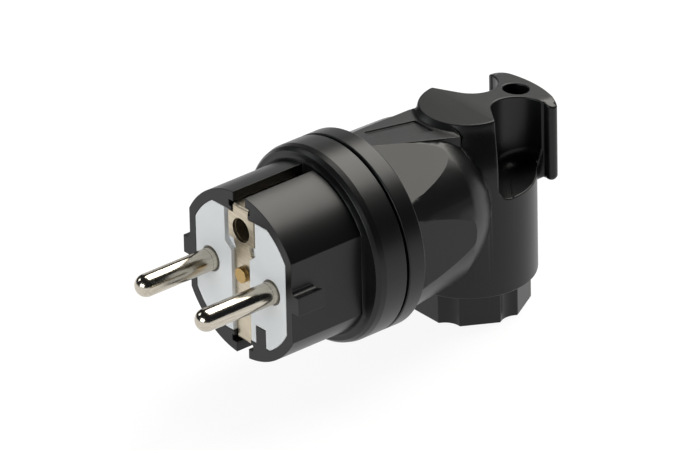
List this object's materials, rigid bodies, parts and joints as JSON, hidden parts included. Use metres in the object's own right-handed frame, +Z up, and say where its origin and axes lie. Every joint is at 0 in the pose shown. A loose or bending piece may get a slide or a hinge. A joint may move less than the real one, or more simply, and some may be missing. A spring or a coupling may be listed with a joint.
{
  "type": "type f plug",
  "caption": "Angled earthed mains plug: round pins, pale contact insert with bent earth strip, black two-part body, finger grip with scoops and a hanging hole, and a fluted cord gland.",
  "frame": {"origin": "middle of the engagement face, halfway between the two pins, in the plane of that face", "axes": "+Y along the plug's axis, away from the pins' tips; +Z up towards the earth socket; the cord leaves along -Z"},
  "size_m": [0.0424, 0.0969, 0.0482],
  "materials": {
    "body_plastic": "satin black, moulded",
    "carrier_plastic": "satin, pale grey",
    "contact_nickel": "polished nickel plate",
    "strip_nickel": "rolled and nickel plated",
    "rivet_brass": "plain brass",
    "terminal_brass": "machined",
    "screw_steel": "zinc plated",
    "seal_rubber": "matt",
    "cage_plastic": "moulded nylon"
  },
  "bodies": {
    "root": {"housing": "body_plastic", "front_body": "body_plastic", "gland_nut": "body_plastic", "contact_carrier": "carrier_plastic", "collar_gasket": "seal_rubber", "sealing_grommet": "seal_rubber", "pin_left": "contact_nickel", "pin_right": "contact_nickel", "earth_strip": "strip_nickel", "earth_socket": "strip_nickel", "centre_rivet": "rivet_brass", "carrier_screw_left": "screw_steel", "carrier_screw_right": "screw_steel", "clamp_cage": "cage_plastic", "slip_washer": "cage_plastic", "terminal_left": "terminal_brass", "saddle_clamp_left": "screw_steel", "terminal_screw_left": "screw_steel", "terminal_right": "terminal_brass", "saddle_clamp_right": "screw_steel", "terminal_screw_right": "screw_steel", "terminal_earth": "terminal_brass", "saddle_clamp_earth": "screw_steel", "terminal_screw_earth": "screw_steel"}
  },
  "joints": []
}
